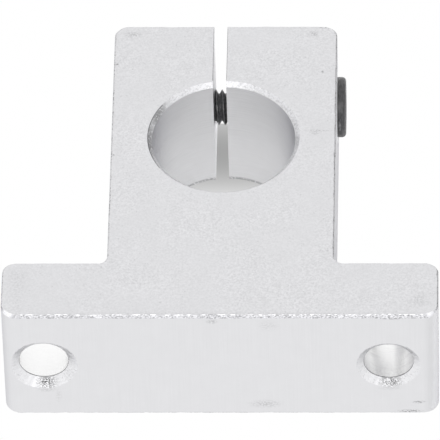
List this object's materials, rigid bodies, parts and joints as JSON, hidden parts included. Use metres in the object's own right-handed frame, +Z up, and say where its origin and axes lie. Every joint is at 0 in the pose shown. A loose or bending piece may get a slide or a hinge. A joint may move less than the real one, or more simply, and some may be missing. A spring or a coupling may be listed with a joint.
{
  "type": "shaft support block",
  "caption": "Upright aluminium support block for a round shaft: flanged base with bolt holes, and a slit bore closed by a socket head clamp screw.",
  "frame": {"origin": "middle of the base's underside, straight below the middle of the block's depth", "axes": "+Z up from the base to the clamping ears, Y along the shaft, +X across the block towards the clamp screw's head"},
  "size_m": [0.048, 0.016, 0.044],
  "materials": {
    "block": "extruded, sawn to length and lightly blasted",
    "screw": "black oxide"
  },
  "bodies": {
    "block": {"support_block": "block"},
    "screw": {"clamp_screw": "screw"}
  },
  "joints": [
    {"name": "clamp_screw_turn", "type": "hinge", "parent": "block", "child": "screw", "pos_m": [0, 0, 0.039], "axis": [1, 0, 0], "range_deg": [-90, 360]}
  ]
}
